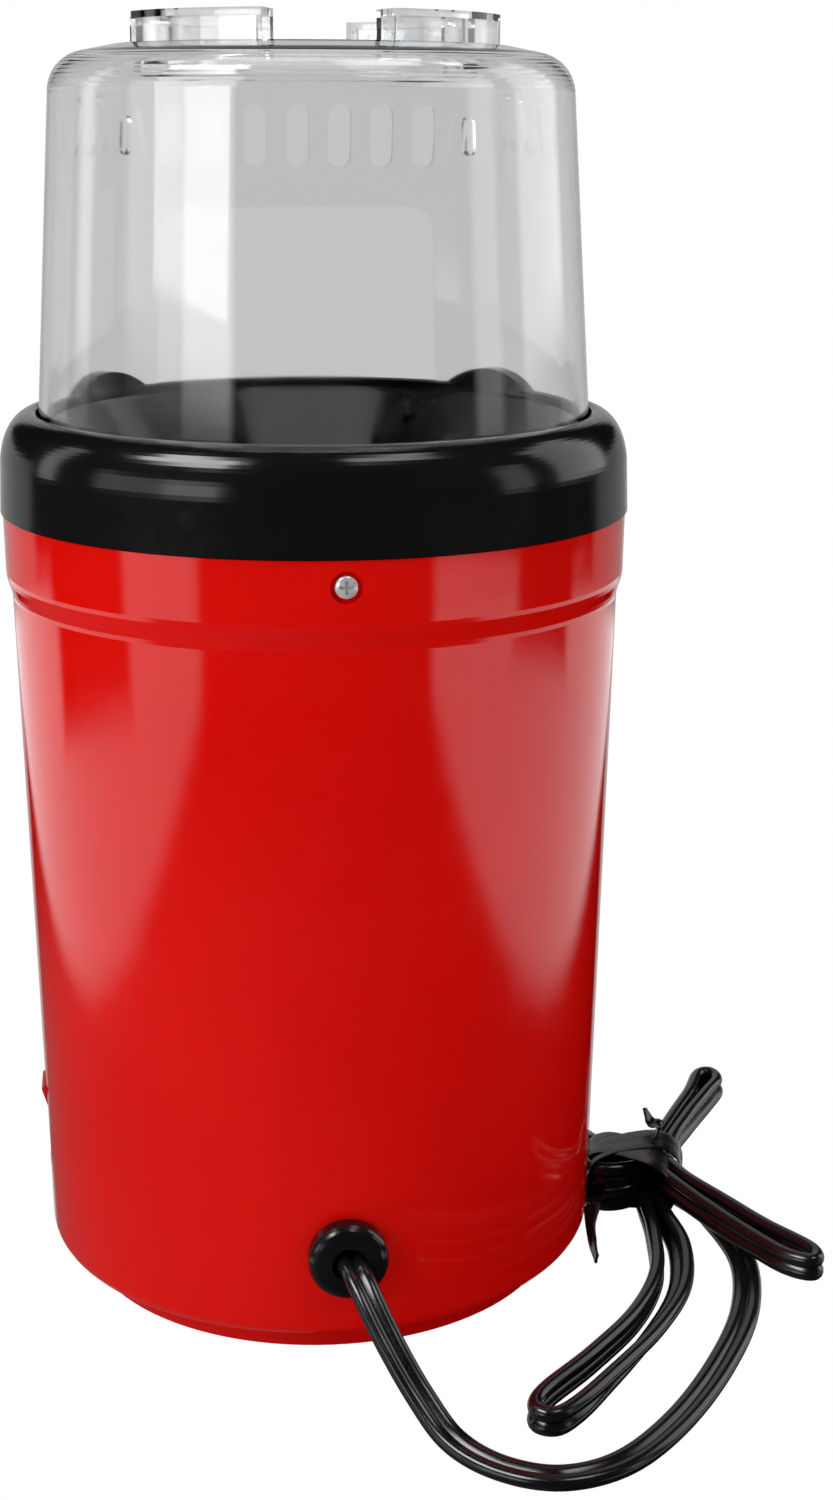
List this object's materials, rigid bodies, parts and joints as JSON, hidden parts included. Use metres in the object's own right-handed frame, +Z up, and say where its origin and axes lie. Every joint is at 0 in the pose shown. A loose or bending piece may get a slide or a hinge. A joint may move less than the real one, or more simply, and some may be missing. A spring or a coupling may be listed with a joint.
{
  "type": "hot-air popcorn maker",
  "caption": "Upright hot-air popcorn maker: tapered shell on a recessed base ring, collar, clear lift-off lid with a front mouth, popping chamber, heater, fan, side switch and tied cord.",
  "frame": {"origin": "middle of the base on the surface that the feet stand on", "axes": "+Z up along the body's axis; -Y towards the mouth of the lid; +Y towards the cord's outlet; +X towards the switch"},
  "size_m": [0.1957, 0.2237, 0.2961],
  "materials": {
    "red_plastic": "high gloss red moulded plastic",
    "black_plastic": "high gloss black moulded plastic",
    "clear_plastic": "clear moulded plastic",
    "chamber_aluminium": "spun aluminium",
    "duct_steel": "plated sheet steel",
    "screw_steel": "zinc-plated steel",
    "mica": "mica sheet",
    "heater_wire": "oxidised resistance wire",
    "pale_plastic": "heat-resistant moulded plastic",
    "fan_plastic": "moulded plastic",
    "magnet": "sintered ferrite",
    "bronze": "sintered bronze",
    "copper_winding": "enamelled copper on a steel core",
    "circuit_board": "laminate board",
    "diode_epoxy": "moulded epoxy",
    "thermostat_ceramic": "ceramic and plated steel",
    "switch_red": "gloss moulded plastic",
    "terminal_brass": "plain stamped brass",
    "foot_rubber": "matte rubber",
    "grommet_black": "satin moulded plastic",
    "wire_sleeve": "woven heat-resistant sleeve",
    "cord_black": "satin vinyl cord jacket",
    "tie_black": "plastic-coated tie"
  },
  "bodies": {
    "housing": {"body_shell": "red_plastic", "collar": "black_plastic", "collar_screws": "screw_steel", "popping_chamber": "chamber_aluminium", "air_duct": "duct_steel", "duct_screws": "screw_steel", "heater_boards": "mica", "heater_coil": "heater_wire", "fan_housing": "pale_plastic", "housing_screws": "screw_steel", "motor_can": "duct_steel", "motor_magnets": "magnet", "motor_end_cap": "pale_plastic", "motor_bushes": "bronze", "motor_screws": "screw_steel", "rectifier_board": "circuit_board", "rectifier_diodes": "diode_epoxy", "thermostat": "thermostat_ceramic", "thermal_fuse": "screw_steel", "switch_body": "switch_red", "switch_terminals": "terminal_brass", "base_plate": "black_plastic", "base_screws": "screw_steel", "rubber_feet": "foot_rubber", "cord_grommet": "grommet_black", "cord_clamp": "pale_plastic", "clamp_screws": "screw_steel", "inner_wires": "wire_sleeve", "cord_lead": "cord_black", "cord_hank": "cord_black", "cord_tail": "cord_black", "cord_tie": "tie_black", "plug_body": "cord_black", "plug_blades": "terminal_brass"},
    "lid": {"lid": "clear_plastic"},
    "rotor": {"motor_shaft": "screw_steel", "motor_armature": "copper_winding", "fan_impeller": "fan_plastic", "fan_nut": "screw_steel"},
    "rocker": {"switch_rocker": "switch_red"}
  },
  "joints": [
    {"name": "lid_lift", "type": "slide", "parent": "housing", "child": "lid", "axis": [0, 0, 1], "range_m": [0, 0.1]},
    {"name": "fan_spin", "type": "hinge", "parent": "housing", "child": "rotor", "pos_m": [0, 0, 0.03], "axis": [0, 0, 1], "continuous": true},
    {"name": "rocker_tilt", "type": "hinge", "parent": "housing", "child": "rocker", "pos_m": [0.0625, 0, 0.0395], "axis": [0, -1, 0], "range_deg": [0, 14]}
  ]
}
